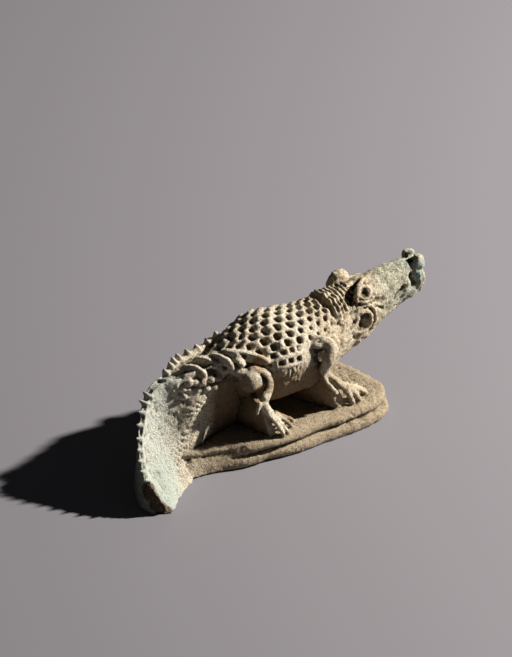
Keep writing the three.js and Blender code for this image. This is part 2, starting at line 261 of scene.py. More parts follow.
# Where each pit of a row lies along the body
pit_rows = [
    (-22, -3.1), (-18.3, -2), (-14.5, -1), (-10.7, 0), (-7, 1), (-3.3, 2), (0.95, 3.05),
    (4.4, 4), (8.1, 5.05), (10.9, 6), (13.6, 7), (16, 8), (20, 9.6),
]
pit_turn = math.radians(12.6)
pit_depth = 1.15
knob_height = 0.6
# Turn from the top of the back to the rows of cells and to the ridges along them
cell_degrees = (60, 72.5)
cell_ridge_degrees = (54.5, 66.5, 79)
cell_spacing = 2.65
cell_depth = 0.85
cell_ridge_height = 0.35
hatch_spacing = 1.3
hatch_depth = 1.1
nape_start = 17.8
nape_spacing = 1.22
nape_height = 0.6
shoulder_groove = 16.2
shoulder_groove_depth = 0.95


def band(value, start, full, leaving, end):
    """1 from full to leaving, and 0 up to start and from end, smooth between them."""
    return fade(value, start, full) * fade(-value, -end, -leaving)


def trunk_carving(along, turn):
    """Height of the carving on the skin, for turn from the top of the back."""
    side = np.abs(turn)
    degrees = np.degrees(side)
    spots = np.stack([along, turn * 12, np.zeros(len(along))], 1)
    uneven = lumps(spots, 2.3, 7)

    # Pits in rows across the back, with knobs between them that flatten towards the shoulder
    drift = 0.1 * np.clip(side / pit_turn - 1, 0, 2)
    along_pits = smooth_rows(pit_rows, along)[:, 0] - drift + 0.1 * lumps(spots, 3.5, 5)
    across_pits = side / pit_turn + 0.1 * lumps(spots, 3.1, 6)
    lattice = np.cos(2 * np.pi * along_pits) * np.cos(np.pi * across_pits)
    on_back = band(along, -17.5, -15.5, 15.6, 17.2) * (1 - fade(degrees, 53, 57))
    shoulder = fade(along, 1, 9) * fade(degrees, 14, 40)
    edge = 0.1 + 0.36 * shoulder + 0.16 * uneven
    pit = fade(-lattice, edge, edge + 0.34) * (1 - 0.3 * shoulder)
    knob = np.clip(lattice + 0.1 * uneven, 0, 1) ** 0.7 * (1 - 0.8 * shoulder)
    height = on_back * (knob_height * knob - pit_depth * pit)
    height *= 0.6 + 0.4 * fade(along, -12, -7)

    # Two rows of small square cells on the flank, each row between two thin ridges
    on_flank = band(along, -8.6, -7.8, 2.4, 3.6)
    for row, middle in enumerate(cell_degrees):
        near = np.abs(degrees - middle) / 5.6
        cell = np.cos(2 * np.pi * (along / cell_spacing + 0.35 * row + 0.05 * uneven))
        hole = fade(cell, -0.45, 0.05) * fade(-near, -0.72, -0.5)
        height += on_flank * ((near < 1) * 0.2 - (cell_depth + 0.2 * uneven) * hole)
    for middle in cell_ridge_degrees:
        ridge = bump((degrees - middle) / 2.2)
        height += cell_ridge_height * ridge * band(along, -10, -8.4, 3, 5)

    # Slanting hatch lines under the cells
    slant = along + 3.2 * side + 0.3 * lumps(spots, 2.2, 9)
    hatch = np.abs(np.sin(np.pi * slant / hatch_spacing)) ** 0.7
    crossing = np.cos(np.pi * (degrees + 2.5 * along + 3 * uneven) / 9)
    hatch = hatch * (0.7 + 0.3 * crossing) - 0.25 * fade(lumps(spots, 1.6, 26), -0.2, 0.5)
    hatched = band(degrees, 81, 85, 120, 138) * band(along, -10.5, -9, 0.5, 5)
    height += hatched * hatch_depth * (hatch - 0.5)

    # The hip is cut back where a fold of skin lies over it
    past_hip = -17.4 + 0.2 * (degrees - 18) - along
    on_hip = fade(past_hip, -0.7, 0.5) * fade(degrees, 16, 22)
    height = height * (1 - on_hip) - 0.45 * on_hip * fade(along, -20, -18)

    # Ridges across the nape, beaded, behind a groove at the shoulder
    nape = band(along, 16.6, 17.4, 25.2, 26.4) * (1 - fade(degrees, 44, 58))
    ridge_turn = np.pi * (along - nape_start + 0.12 * uneven) / nape_spacing
    ridge = 1 - 1.6 * np.abs(np.sin(ridge_turn)) ** 0.7
    bead = np.cos(side * 20)
    height += nape * (nape_height + 0.6 * ridge + 0.15 * bead)
    groove = bump((along - shoulder_groove - 1.5 * side) / 1.1)
    height -= shoulder_groove_depth * groove * (1 - fade(degrees, 58, 80))

    # The neck's side is rough
    neck = band(along, 11, 14, 24, 27) * band(degrees, 40, 52, 100, 125)
    return height + neck * (0.22 * lumps(spots, 1.1, 8) + 0.2 * lumps(spots, 2.4, 14))


def trunk_shape(turn, share):
    """The trunk from its back end to the snout, with turn from the top of the back."""
    turn = np.where(turn > np.pi, turn - 2 * np.pi, turn)
    along = trunk_back + (trunk_front - trunk_back) * share
    lift = trunk_carving(along, turn)
    out = band(share, 0, 0.02, 0.985, 1) ** 0.5
    back, belly, half_width = smooth_rows(trunk_rows, along).T
    low = belly + belly_gap
    rump = 1 - fade(along, -15, -7)
    fullness = np.where(np.abs(turn) < np.pi / 2, 1 - 0.4 * rump, 0.82 + 0.7 * rump)
    sine = np.sin(turn)
    across = np.sign(sine) * np.abs(sine) ** fullness * (half_width + lift) * out
    height = (back + low) / 2 + np.cos(turn) * ((back - low) / 2 + lift) * out
    return np.stack([along, across, plinth_thickness + height], 1)


press(420, 460, trunk_shape)


# Tail
# The tail is full on its left side and hollow on its right, where the mould needed no
# undercut. It curls to the right and thins into the plinth's end, which has broken off there.
ground = -plinth_thickness
tail_stations = [
    # crest, half width of its top, foot of the right side, foot of the left side
    ((-9, 0, 21.5), 4.4, (-9, -2, 0), (-9, 2, 0)),
    ((-15.7, 0, 22.2), 5.2, (-15.7, -2.4, 0), (-15.7, 2.6, 0)),
    ((-21, 0.3, 21.4), 4.2, (-21.4, -4, 0), (-21, 4.6, 0)),
    ((-26.2, 0.8, 20.6), 3.4, (-26.8, -6.6, -0.5), (-26.2, 6.6, ground)),
    ((-31.5, 0.8, 19.4), 2.2, (-31.8, -10.6, ground), (-31.5, 6.6, ground)),
    ((-36, 0.5, 18.6), 1.3, (-35.7, -12.6, ground), (-36.8, 5, ground)),
    ((-39.2, -0.8, 16.4), 1, (-38.1, -14.6, ground), (-41.3, 2.1, ground)),
    ((-42.2, -3.3, 13.3), 0.9, (-40.2, -16.4, ground), (-45, -2.6, ground)),
    ((-45.4, -6.6, 8.6), 0.9, (-41.8, -18, ground), (-47.6, -7.1, ground)),
    ((-47.5, -10.6, 4.9), 0.8, (-42.9, -18.9, ground), (-49.5, -11.1, ground)),
    ((-48.7, -14.6, 1.6), 0.7, (-43.9, -19.5, ground), (-50, -14.5, ground)),
    ((-47.9, -17.6, -0.8), 0.5, (-44.6, -19.9, ground), (-48.9, -17.4, ground)),
    ((-45.9, -19.3, -4.5), 0.2, (-44.9, -20.2, ground), (-46.3, -19.8, ground)),
]
tail_rows = [
    (k, *crest, top, *right, *left) for k, (crest, top, right, left) in enumerate(tail_stations)
]
tail_steps = len(tail_stations) - 1
# Where the top of the crest ends and the underside starts, from 0 at the crest round to 1
top_end = 0.07
under_start = 0.85
# How the full and the hollow side bend out towards their feet
full_bend = 1.2
hollow_bend = 1.9
# Crossing lines along the tail and down its side
net_rows = (38, 15)
net_depth = 0.45
root_fullness = 1.8
scale_rows = (21, 7)
scale_depth = 0.42


def on_tail(share):
    """Crest, half width of its top, and both feet, at shares of the tail's length."""
    row = smooth_rows(tail_rows, share * tail_steps)
    crest, top, right, left = row[:, :3], row[:, 3], row[:, 4:7], row[:, 7:10]
    for spots in (crest, right, left):
        spots[:, 2] = np.maximum(spots[:, 2] + plinth_thickness, 0)
    return crest, top, right, left


def tail_shape(turn, share):
    """The tail from its root to its end, down its left side and up its right."""
    crest, top, right, left = on_tail(share)
    is_left = turn < np.pi
    around = np.where(is_left, turn, 2 * np.pi - turn) / np.pi
    foot = np.where(is_left[:, None], left, right)
    outward = foot - crest
    outward[:, 2] = 0
    reach = np.linalg.norm(outward, axis=1)
    outward /= reach[:, None]
    down = np.clip((around - top_end) / (under_start - top_end), 0, 1)
    width = top + (reach - top) * down ** np.where(is_left, full_bend, hollow_bend)
    places = crest + outward * width[:, None]
    places[:, 2] = crest[:, 2] + (foot[:, 2] - crest[:, 2]) * down
    on_top = around < top_end
    across = around / top_end
    places[on_top] = (crest + outward * (top * across)[:, None])[on_top]
    places[on_top, 2] -= (0.25 * top * (1 - across ** 2))[on_top]
    under = around > under_start
    middle = (right + left) / 2
    inward = np.clip((around - under_start) / (1 - under_start), 0, 1)[:, None]
    places[under] = (foot + (middle - foot) * inward)[under]
    on_side = ~under * ~on_top

    # Crossing lines cut the root of the hollow side into small pits, and above them it is uneven
    net = np.cos(2 * np.pi * share * net_rows[0]) * np.cos(2 * np.pi * down * net_rows[1])
    netted = band(down, 0.35, 0.40, 0.79, 0.85) * fade(share, 0.15, 0.19)
    netted *= 1 - fade(share - 0.13 * fade(down, 0.5, 0.75), 0.26, 0.32)
    cut = net_depth * netted * fade(net + 0.5 * lumps(places, 1.5, 22), -0.2, 0.4)
    cut -= root_fullness * bump((down - 0.45) / 0.45) * bump((share - 0.24) / 0.15)
    uneven = (1 - fade(down, 0.3, 0.4)) * band(share, 0.14, 0.2, 0.62, 0.72)
    cut -= uneven * (0.14 * lumps(places, 1.3, 21) + 0.2 * lumps(places, 2.7, 23))
    places -= outward * (cut * ~is_left * on_side)[:, None]

    # Plain rows of scales cover the full side
    along_scales = np.cos(2 * np.pi * (share * scale_rows[0] + 0.5 * down))
    scales = along_scales * np.cos(2 * np.pi * down * scale_rows[1])
    scaled = band(down, 0.04, 0.1, 0.6, 0.9) * (1 - fade(share, 0.8, 0.92))
    cut = scale_depth * scaled * fade(-scales + 0.3 * lumps(places, 2.2, 25), -0.2, 0.5)
    places -= outward * (cut * is_left * on_side)[:, None]

    core = middle * 0.6 + crest * 0.4
    return core + (places - core) * band(share, 0, 0.01, 0.995, 1)[:, None]


press(440, 420, tail_shape)


# Crest
# Overlapping scutes, cut in the model by hand, cross the rump from a row of short spikes on its
# left, over rows of knobs on its right. Behind them a single row of thin teeth, set across the
# crest, runs on down the tail.
def spot(along, across, height):
    """A place from its height above the plinth."""
    return np.array([along, across, plinth_thickness + height], dtype=float)


def blade(foot, tip, run, half_length, half_thickness):
    """A leaf that stands on foot, points to tip and runs flat along run."""
    foot, tip, run = (np.array(v, dtype=float) for v in (foot, tip, run))
    up = tip - foot
    height = np.linalg.norm(up)
    up /= height
    across = np.cross(up, run)
    across /= np.linalg.norm(across)
    ahead = np.cross(across, up)

    def shape(turn, share):
        width = np.minimum(1, share * 9) ** 0.5 * np.cos(np.pi / 2 * share) ** 0.75
        width[share > 0.999] = 0
        return (
            foot + np.outer(share * height, up)
            + np.outer(np.cos(turn) * width * half_length, ahead)
            + np.outer(np.sin(turn) * width * half_thickness, across)
        )

    press(32, 24, shape)


tooth_count = 9
tooth_crest, _, _, tooth_left = on_tail(np.linspace(0.485, 0.835, tooth_count))
for k in range(tooth_count):
    lean = tooth_left[k] - tooth_crest[k]
    lean[2] = 0
    lean /= np.linalg.norm(lean)
    size = 1 - 0.25 * k / tooth_count
    foot = tooth_crest[k] - lean * 1.2 * size - (0, 0, 1.2 * size)
    tip = tooth_crest[k] + lean * 2 * size + (0, 0, 1.1 * size)
    blade(foot, tip, lean, 1.1 * size, 0.62)

spike_tips = [
    (-31.5, 3.2, 21.1), (-29.5, 3.7, 22.2), (-28.2, 4.2, 23), (-26.4, 4.7, 23.3),
    (-23.4, 5, 23.6), (-20, 5.3, 23.6), (-16.6, 5.6, 24.4), (-13.4, 6, 25.2),
]
for along, across, height in spike_tips:
    tip = spot(along, across, height)
    blade(tip + (0.7, -0.7, -2.4), tip, (0.6, -0.75, 0), 1.2, 0.7)


def scute(left, top, right, back, front):
    """A shingle of clay from left to right, up to top, flat behind and sloping down before."""
    centre = (left + right) / 2
    facing = np.cross(right - left, top - centre)
    facing /= np.linalg.norm(facing)
    axes = np.array([(right - left) / 2, facing, top - centre])

    def shape(turn, share):
        rise = np.pi * (share - 0.5)
        out = np.sin(turn) * np.cos(rise)
        depth = np.where(np.sin(turn) > 0, back * np.abs(out) ** 0.4, front * out)
        return np.stack([np.cos(rise) * np.cos(turn), depth, np.sin(rise)], 1) @ axes + centre

    press(48, 32, shape)


scutes = [
    # Left end, top and right end of each, how far it reaches back and how far forward
    ((-27.6, 1.2, 19.4), (-25.1, -1.2, 22), (-22.9, -4.6, 19.2), 0.6, 2.6),
    ((-23.4, 1.8, 20.4), (-21.1, -1.6, 23), (-17.3, -6, 19.8), 0.7, 2.8),
    ((-19.6, -0.2, 21.6), (-18, -3.8, 23.9), (-16.2, -7.4, 20.8), 0.6, 2.2),
    ((-17.2, -2.4, 22.8), (-15.3, -5, 24.8), (-12.6, -7.6, 21.2), 0.6, 2.2),
    ((-15, -5.2, 23.7), (-12.2, -7, 24.5), (-6.6, -10, 21.1), 0.5, 1.8),
]
for left, top, right, back, front in scutes:
    scute(spot(*left), spot(*top), spot(*right), back, front)

# A flat end to the row of spikes, and the low ridge that they stand on
limb([
    spot(-34, 2.3, 18.4), spot(-33.4, 1.2, 17.8), spot(-31.9, -0.3, 17.9), spot(-29.9, -2, 17.4),
], [0.5, 0.8, 0.8, 0.6], along=60, flatten=2.4)
limb([
    spot(-31.4, 2.6, 18.9), spot(-27.5, 3.9, 20.2), spot(-23, 4.5, 20.8), spot(-18.6, 5, 21.4),
    spot(-13, 5.8, 22.8),
], [0.8, 1.1, 1.1, 1.1, 0.8])


def boss(centre, radii, around=40, along=24):
    """An egg of clay with three half sizes."""
    def shape(turn, share):
        rise = np.pi * (share - 0.5)
        out = np.cos(rise)
        return np.stack([out * np.cos(turn), out * np.sin(turn), np.sin(rise)], 1) * radii + centre

    press(around, along, shape)


knobs = [
    (-27.3, -2.9, 18), (-25.4, -3.2, 17.7), (-23.9, -4.3, 17.6), (-21.6, -4.8, 18.1),
    (-19.4, -4.8, 17.7), (-17.7, -4.7, 15.9), (-20.6, -4.9, 15.5), (-22.9, -4.5, 15.6),
    (-25.1, -3.8, 15.8), (-29, -2.3, 16.6), (-27.3, -3, 15.7), (-28.8, -2.8, 14.4),
]
for along, across, height in knobs:
    boss(spot(along, across, height), (1.15, 1, 1.05), around=24, along=16)


# Legs
# Short legs stand at each side. A thin wall of clay was left under each of them to carry it.
# The haunch is a round boss with a raised rim that runs on down the leg, and a fold of skin
# lies above it.
# How much thicker a wall is at its foot, and how far feet and walls reach into the plinth
foot_spread = 2
foot_sink = -0.4
# All joints are those of the right side, where across is less than 0
haunch_rim = [
    (-12.4, -7.6, 19), (-10.4, -8.8, 19), (-8.3, -9.9, 17.8), (-7.5, -10.7, 15.8),
    (-8.1, -11.5, 13.8), (-9.7, -12.3, 12.3), (-11, -12.8, 11.2),
]
haunch_back = [(-16.2, -5, 19), (-14.4, -6.6, 18.8), (-12, -8.2, 18.2)]
shin = [(-11, -12.8, 11.8), (-9.8, -13.1, 9.2), (-7.6, -13, 6.8)]
heel = [(-11.6, -13, 12), (-12.7, -13.4, 10.2), (-13.1, -13.3, 8.2)]
hind_toes = [
    [(-6.8, -12.4, 6.6), (-2.3, -11, 3.1), (1.8, -9.8, foot_sink)],
    [(-7.2, -12.8, 6.6), (-3, -12.2, 2.9), (-0.6, -12.3, foot_sink)],
    [(-8.4, -13.3, 7), (-5.4, -13.6, 3.3), (-3.1, -14.2, foot_sink)],
    [(-10.6, -13.3, 9.6), (-7.9, -14, 5.3), (-5.6, -14.4, 1.2), (-5.3, -14.4, foot_sink)],
]
hind_wall = [(-9, 0.5, foot_sink), (-9, 0.5, 12), (-7.2, -13, foot_sink), (-10.8, -12.6, 9.6)]
hip_fold = [(-15.4, -4.6, 22.6), (-14.6, -6.4, 22.3), (-13.8, -7.4, 21.2), (-13.6, -7.6, 20.4)]
upper_arms = {
    -1: [(7.6, -8.4, 21.2), (10.2, -11.2, 21.7), (11.3, -13.1, 20.4), (9.9, -13.6, 17.9),
         (9.1, -12.9, 15.2), (8.9, -12.3, 13.4)],
    1: [(14.3, -9, 20.6), (12.2, -11, 18.6), (10.6, -12.2, 16.8), (9.4, -12.6, 15),
        (8.9, -12.4, 13.4)],
}
forearm_front = [(9.4, -12.1, 13.6), (12.8, -12, 10), (15.4, -11.9, 7.2), (17.8, -11.6, 5.6)]
forearm_back = [(8.7, -12.5, 13.2), (10.7, -12.9, 9.4), (13.6, -12.8, 5.5)]
fore_wall = [(11, 0.5, foot_sink), (11, 0.5, 12), (16, -11.6, foot_sink), (10.8, -11.9, 12)]
fore_toes = [
    [(17.8, -11.3, 5.3), (22.6, -10.2, 2.9), (25.6, -9.6, foot_sink)],
    [(17.6, -11.6, 5.3), (20.5, -11, 2.9), (22.1, -11.2, foot_sink)],
    [(16.4, -12, 5.9), (18.1, -12, 3.3), (19.5, -12, foot_sink)],
]
# Place and size of each knuckle
knuckles = [
    (17.6, -10.8, 6.3, 0.9), (19.6, -10.4, 5.2, 0.8), (21.6, -9.9, 4.2, 0.7),
    (18.3, -12, 4.9, 0.7),
]


def placed(joints, side):
    """The joints' places, on the left where side is 1."""
    return [spot(along, -side * across, height) for along, across, height in joints]


def clay_wall(corners, inner_thickness, outer_thickness):
    """The wall under a limb, from the middle line out: inner low and high, outer low and high."""
    inner_low, inner_high, outer_low, outer_high = corners
    wall = bmesh.new()
    bmesh.ops.create_cube(wall, size=1)
    for vert in wall.verts:
        inner, outer = (inner_high, outer_high) if vert.co.z > 0 else (inner_low, outer_low)
        reach = 0.5 + vert.co.y
        place = inner + (outer - inner) * reach
        thickness = inner_thickness + (outer_thickness - inner_thickness) * reach
        thickness *= 1 if vert.co.z > 0 else foot_spread
        vert.co = (place[0] + vert.co.x * thickness, place[1], place[2])
    bmesh.ops.recalc_face_normals(wall, faces=wall.faces)
    mesh = bpy.data.meshes.new("wall")
    wall.to_mesh(mesh)
    clay.from_mesh(mesh)
    wall.free()
    bpy.data.meshes.remove(mesh)


for side in (-1, 1):
    boss(spot(-11.6, side * 8.4, 16.2), (3.3, 3.2, 3.4), around=60, along=40)
    limb(placed(haunch_back, side), [0.9, 1.4, 1.5])
    limb(placed(haunch_rim, side), [1.2, 1.3, 1.3, 1.3, 1.3, 1.4, 1.5])
    limb(placed(shin, side), [1.4, 1.1, 0.8])
    limb(placed(heel, side), [0.9, 0.6, 0.35])
    for toe in hind_toes:
        limb(placed(toe, side), [0.75, 0.62, 0.5], around=20, along=40)
    clay_wall(placed(hind_wall, side), 3, 1)
    limb(placed(hip_fold, side), [0.5, 0.9, 0.9, 0.6])

    # The breast, and a cap of clay on the shoulder
    boss(spot(14, side * 8, 18.4), (3, 2.6, 3.8))
    boss(spot(9.4, side * 10.3, 21.5), (3, 2.4, 1.3))
    limb(placed(upper_arms[side], side), [1.8, 1.8, 1.7, 1.5, 1.3])
    limb(placed(forearm_front, side), [1.1, 1, 1.1, 1.3])
    limb(placed(forearm_back, side), [0.7, 0.5, 0.6])
    clay_wall(placed(fore_wall, side), 3, 1.8)
    for toe in fore_toes:
        limb(placed(toe, side), [0.95, 0.85, 0.7], around=20, along=40)
    for along, across, height, size in knuckles:
        boss(spot(along, -side * across, height), (size, size * 0.9, size * 0.8))


# Face
# The brow, the eye, the ring at the jaw's corner and the nostrils are pellets and coils of
# clay set on the head. The pupils and nostrils were drilled while the clay was soft.
def ring(centre, radius, wall, tilt, flat):
    """A coil of clay laid in a circle, flat as a share of it, and tilted about x in degrees."""
    turned = math.radians(tilt)
    about_x = np.array([
        [1, 0, 0],
        [0, math.cos(turned), -math.sin(turned)],
        [0, math.sin(turned), math.cos(turned)],
    ])

    def shape(turn, share):
        small = share * 2 * np.pi
        out = radius + wall * np.cos(small)
        spots = np.stack([out * np.cos(turn), out * flat * np.sin(turn), wall * np.sin(small)], 1)
        return spots @ about_x.T + centre

    press(64, 20, shape)


# The left brow stands further back than the right, and is a plain dome
brow_sizes = {
    -1: ((27.5, -4, 27.4), (3.6, 2.3, 2.6)),
    1: ((25.6, 3.9, 28.6), (3.3, 2.4, 3.2)),
}
eye_tilt = 58
# The brow, the cheek before it, two coils round the eye and two round the jaw's corner
for side, (centre, radii) in brow_sizes.items():
    boss(spot(*centre), radii, around=48, along=32)
    boss(spot(centre[0] + 3.7, side * 3.1, 26.4), (5.4, 2.6, 2.6), around=48, along=32)
    ring(spot(centre[0] + 0.1, side * 5.4, 28.5), 2, 0.45, -side * eye_tilt, 0.75)
    ring(spot(centre[0] + 0.4, side * 5.2, 28), 3.1, 0.4, -side * eye_tilt, 0.75)
    ring(spot(26.3, side * 6.7, 20.6), 2.6, 0.45, side * 90, 1.2)
    ring(spot(26.9, side * 6.1, 20.6), 4, 0.45, side * 90, 1.15)

# A coil over the right brow, and the two nostrils
limb([
    spot(30.8, -0.8, 29.7), spot(28.4, -2.4, 30), spot(26.2, -4.2, 29.5), spot(25, -5.4, 28.1),
    spot(24.8, -5.8, 26.4),
], [0.5, 0.7, 0.7, 0.6, 0.5])
boss(spot(47.3, 1.9, 30.9), (1.9, 1.5, 1.35))
boss(spot(47.5, -2.1, 29.7), (2.1, 1.8, 2.9))


# Moulded body
# All of it is one piece of clay, so the forms are melted into a single closed skin. It was
# cut and dented while soft, then fired with a glaze that has mostly worn off.
skin_step = 0.24
face_limit = 195000
millimetre = 0.001
middle_shift = 2.65

body_mesh = bpy.data.meshes.new("crocodile")
clay.to_mesh(body_mesh)
clay.free()
body = bpy.data.objects.new("crocodile", body_mesh)
bpy.context.scene.collection.objects.link(body)


def settle(piece):
    """Makes what a piece's modifiers show its own mesh, and clears them."""
    depsgraph = bpy.context.evaluated_depsgraph_get()
    made = bpy.data.meshes.new_from_object(piece.evaluated_get(depsgraph), depsgraph=depsgraph)
    piece.modifiers.clear()
    old = piece.data
    piece.data = made
    bpy.data.meshes.remove(old)


melt = body.modifiers.new("melt", "REMESH")
melt.mode = "VOXEL"
melt.voxel_size = skin_step
melt.use_smooth_shade = True
settle(body)


def read_places(piece):
    """Every vertex of a piece, one row each."""
    places = np.empty(len(piece.data.vertices) * 3)
    piece.data.vertices.foreach_get("co", places)
    return places.reshape(-1, 3)


def write_places(piece, places):
    """Moves every vertex of a piece to its row's place."""
    piece.data.vertices.foreach_set("co", places.ravel())
    piece.data.update()


def read_normals(piece):
    """The normal of every vertex of a piece, one row each."""
    normals = np.empty(len(piece.data.vertices) * 3)
    piece.data.vertex_normals.foreach_get("vector", normals)
    return normals.reshape(-1, 3)


def evened(piece, values, rounds):
    """Values of the vertices, each moved towards its neighbours' mean a number of times."""
    edges = np.empty(len(piece.data.edges) * 2, dtype=np.int64)
    piece.data.edges.foreach_get("vertices", edges)
    one, other = edges.reshape(-1, 2).T
    count = len(values)
    joined = np.bincount(one, minlength=count) + np.bincount(other, minlength=count)
    for _ in range(rounds):
        mean = np.stack([
            np.bincount(one, column[other], count) + np.bincount(other, column[one], count)
            for column in values.T
        ], 1) / joined[:, None]
        values = (values + mean) / 2
    return values


def distance_to(places, route):
    """How far each place is from a line through the route's spots, above the plinth."""
    route = np.array(route, dtype=float) + (0, 0, plinth_thickness)
    nearest = np.linalg.norm(places - route[0], axis=1)
    for start, end in zip(route[:-1], route[1:]):
        run = end - start
        along = np.clip((places - start) @ run / (run @ run), 0, 1)
        nearest = np.minimum(nearest, np.linalg.norm(places - start - np.outer(along, run), axis=1))
    return nearest


def mirrored(rows):
    """The same cuts on the other side."""
    return [
        (half_width, depth, [(along, -across, height) for along, across, height in route])
        for half_width, depth, route in rows
    ]


# Cuts and dents in the soft clay, and small ridges where the depth is less than 0, as drawn on
# the right side: half width, depth and route
cuts = [
    # The drilled nostrils and the hollow in the jaw's ring
    (2.2, 1.7, [(26.6, -6.6, 21.4), (26, -6.6, 19.8)]),
    (1.5, 1.5, [(45.5, -1.2, 31), (46.4, -1.3, 31)]),
    (0.6, 0.5, [(42.4, -1.6, 29.9)]),
    # The sides of the snout: a notch under the nostril, a lip before it and a hollow behind
    (2, 1.5, [(44.6, -3.4, 27), (45.5, -3.2, 24.8)]),
    (0.8, -0.6, [(47, -3.4, 27.6), (47.4, -3.5, 24.8), (46.6, -3.1, 22.4), (44.4, -3.2, 21)]),
    (1.3, 0.8, [(41.4, -3.8, 24.9), (38.7, -4.1, 22.6)]),
    (0.7, -0.5, [(43.4, -3.7, 27), (43, -3.9, 24.6), (41.6, -3.8, 22.4)]),
    # Wrinkles beside the jaw's ring and along the mouth
    (1, 0.5, [(23.2, -6.9, 21.6), (22.2, -7, 20), (22.6, -7.1, 18), (23.6, -6.9, 16.4)]),
    (0.6, 0.5, [(29, -5.9, 23.6), (31, -5.5, 20.6), (31, -4.8, 17.4)]),
    (0.6, 0.4, [(36.4, -4.4, 22), (35, -4.6, 20.4), (32.9, -4.9, 19.1)]),
    (0.6, -0.4, [(30.2, -5.5, 24.5), (33.5, -4.9, 22.6), (35.6, -4.5, 23.2)]),
    (0.5, 0.4, [(31.5, -5.3, 23), (34, -4.8, 21.4)]),
    # The edges of the haunch's boss, and the gap between the two bones of the foreleg
    (0.8, 1.0, [(-9.6, -10.2, 18.2), (-8.8, -11, 16.4), (-9.5, -11.4, 14.2)]),
    (0.9, 0.6, [(-15, -8, 15.6), (-13.6, -9.6, 13.8), (-12, -10.8, 13)]),
    (0.5, 0.6, [(10.6, -12.6, 12.2), (12.8, -12.7, 8.9), (15.2, -12.5, 6)]),
    # Small holes
    (0.7, 0.9, [(5.7, -10.1, 23)]),
    (0.6, 0.8, [(27.4, 5.8, 0)]),
    (0.55, 0.7, [(23.6, -13.1, 0)]),
]
armpit = [(9.8, -11.2, 19), (9.1, -11.3, 17.4)]
right_cuts = [
    # The hollow behind the upper arm
    (1.6, 1.5, armpit),
    # Behind each of the scutes that cross the crest
    (1.1, 1.0, [(-32.2, 1.8, 19.6), (-30.6, 0.2, 19.8), (-29, -1.4, 19.6)]),
    (1.1, 0.8, [(-22.6, -2.2, 20.8), (-20.4, -4.6, 19.8)]),
    (0.9, 0.7, [(-19.2, -3.4, 21.8), (-18, -5.8, 20.6)]),
    (0.9, 0.7, [(-16.6, -4.4, 22.8), (-15, -6.6, 21.4)]),
    (0.9, 0.8, [(-13.4, -5.8, 23.8), (-12.6, -7, 23)]),
    # The pupil, and the hollow behind the brow
    (1.9, 2.2, [(27.5, -5.6, 28.6)]),
    (1.7, 1.6, [(28.4, -0.6, 29.6), (25.6, -2.2, 28.8), (23.6, -3.8, 27.8), (23.2, -4.8, 26.8)]),
]
left_cuts = mirrored([
    # The left pupil
    (1.9, 2, [(25.6, -5.8, 28.7)]),
])

places = evened(body, read_places(body), 2)
write_places(body, places)
normals = read_normals(body)
moves = np.zeros(len(places))
for half_width, depth, route in cuts + right_cuts + mirrored(cuts) + left_cuts:
    moves -= depth * bump(distance_to(places, route) / half_width)
places = evened(body, places + normals * moves[:, None], 1)

# The tail's end has broken away and left rough clay
break_line = [(-48.4, -15, -1.2), (-47.9, -17.8, -3.8), (-46.2, -19.7, -6.2)]
break_start = 2.1
break_end = 2.8


def break_share(places):
    """1 where the clay has broken away, and 0 where its old skin is left."""
    far = distance_to(places, break_line) + 0.5 * lumps(places, 1.4, 16)
    return 1 - fade(far, break_start, break_end)


# Wear leaves a fine grain, coarser on the haunches, the neck, the head and the break
wear = 0.1 * lumps(places, 0.55, 11) + 0.09 * lumps(places, 1.1, 12) + 0.1 * lumps(places, 2.6, 13)
for side in (-1, 1):
    on_haunch = bump(distance_to(places, [(-11.3, side * 10.5, 15.5)]) / 4)
    wear += 0.35 * on_haunch * lumps(places, 1.3, 18)
wear += 0.17 * fade(places[:, 0], 11, 16) * (lumps(places, 0.8, 19) + lumps(places, 1.9, 20))
wear += break_share(places) * (0.25 * lumps(places, 0.9, 15) - 0.35)
write_places(body, places + normals * wear[:, None])

thin = body.modifiers.new("thin", "DECIMATE")
thin.ratio = min(1, face_limit / sum(len(face.vertices) - 2 for face in body.data.polygons))
settle(body)

# Earth and painted shade in the hollows: over 0 where the skin is hollow, and more in the deep
# cuts; the extra behind the upper arm and in the cuts is painted shade
places = read_places(body)
normals = read_normals(body)
hollow = np.sum((evened(body, places, 14) - places) * normals, axis=1)
# Painted shade in the hollow behind the upper arm
hollow += 0.5 * bump(distance_to(places, armpit) / 4.5)
# Painted shade in the pupils, the brow's hollow and behind the scutes
for half_width, depth, route in right_cuts + left_cuts:
    hollow += 0.11 * depth * bump(distance_to(places, route) / (half_width * 1.3))
mark = body.data.attributes.new("hollow", "FLOAT", "POINT")
mark.data.foreach_set("value", hollow)
mark = body.data.attributes.new("broken", "FLOAT", "POINT")
mark.data.foreach_set("value", break_share(places))
places[:, 1] += middle_shift
write_places(body, places * millimetre)
body.data.shade_smooth()

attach(body, "root")
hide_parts("crocodile_on_plinth")


class Wire:
    """An output of a finish's node. Sums, differences and products of wires add Math nodes."""

    def __init__(self, finish, socket):
        self.finish = finish
        self.socket = socket

    def math(self, operation, first, second):
        """A Math node on two wires or numbers."""
        return self.finish.node("Math", {"operation": operation}, {0: first, 1: second})

    def __add__(self, other):
        return self.math("ADD", self, other)

    def __radd__(self, other):
        return self.math("ADD", other, self)

    def __sub__(self, other):
        return self.math("SUBTRACT", self, other)

    def __rsub__(self, other):
        return self.math("SUBTRACT", other, self)

    def __mul__(self, other):
        return self.math("MULTIPLY", self, other)

    def __rmul__(self, other):
        return self.math("MULTIPLY", other, self)

    def __abs__(self):
        return self.finish.node("Math", {"operation": "ABSOLUTE"}, {0: self})


